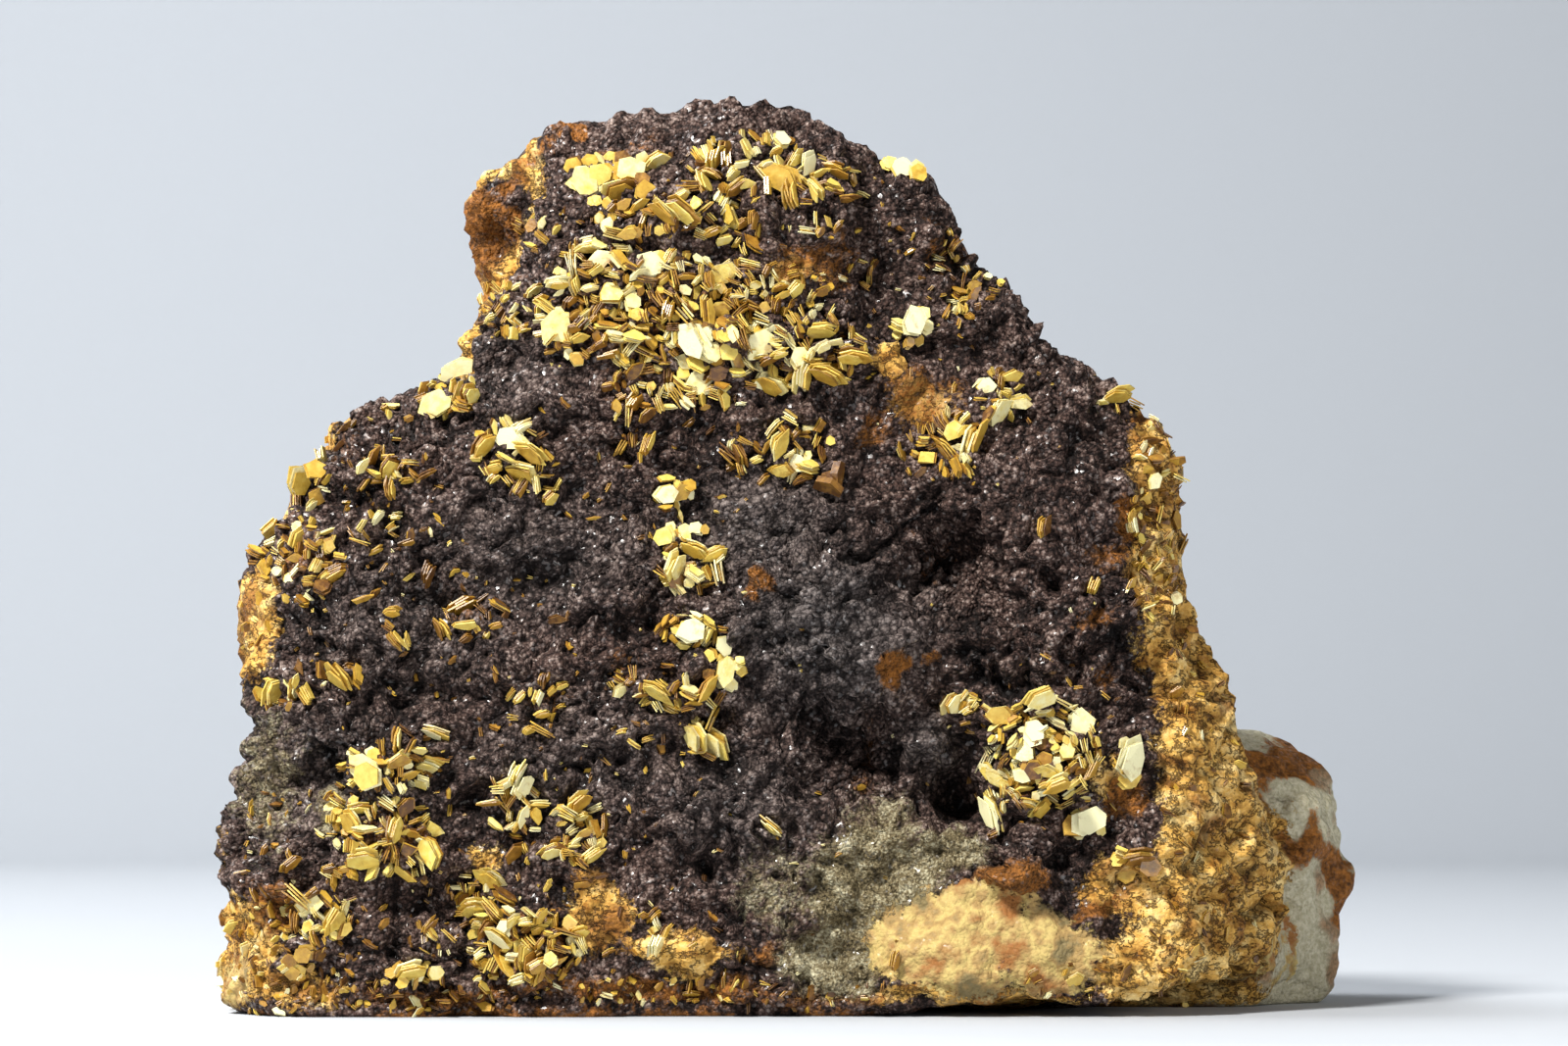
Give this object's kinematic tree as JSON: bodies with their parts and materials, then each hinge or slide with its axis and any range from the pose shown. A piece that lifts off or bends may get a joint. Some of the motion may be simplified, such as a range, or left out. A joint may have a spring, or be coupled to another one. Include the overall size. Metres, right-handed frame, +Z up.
{
  "type": "sericite muscovite specimen",
  "caption": "Hand specimen of golden sericite muscovite tablets scattered over a rock with a dark knobbly iron-oxide crust, standing on a flat base.",
  "frame": {"origin": "middle of the bounding box's underside, on the flat base", "axes": "+X to the viewer's right across the crusted face, +Y away from the viewer, +Z up"},
  "size_m": [0.0932, 0.0525, 0.0734],
  "materials": {
    "crust": "matt, granular",
    "mica": "pearly"
  },
  "bodies": {
    "root": {"rock": "crust", "crown_left_tablets": "mica", "crown_fan": "mica", "crown_top_tablets": "mica", "crown_right_spray": "mica", "upper_left_blades": "mica", "upper_right_blades": "mica", "field_top_left": "mica", "field_top_middle": "mica", "field_top_right": "mica", "field_left_wing": "mica", "field_left_hexagon": "mica", "field_middle": "mica", "field_pale_mass": "mica", "field_lower_left": "mica", "field_right": "mica", "field_right_fans": "mica", "clear_hexagon": "mica", "right_ridge_tablets": "mica", "star_cluster": "mica", "lower_fan": "mica", "open_box_tablets": "mica", "middle_pair": "mica", "hexagon_pair": "mica", "bow_cluster": "mica", "ring_cluster_top": "mica", "ring_cluster_lower": "mica", "lower_blade_pair": "mica", "left_white_tablets": "mica", "left_shoulder_tablets": "mica", "left_edge_tablets": "mica", "left_upper_tablets": "mica", "left_cluster": "mica", "left_single_tablet": "mica", "left_rim_tablets": "mica", "rosette_left_upper": "mica", "rosette_left_lower": "mica", "bottom_left_tablets": "mica", "bottom_gold_tablet": "mica", "valley_tablets": "mica", "lower_field_upper": "mica", "lower_field_left": "mica", "lower_field_bottom": "mica", "recess_blades": "mica", "dome_rosette": "mica", "white_sheet": "mica", "white_hexagon": "mica", "recess_edge_blade": "mica"}
  },
  "joints": []
}
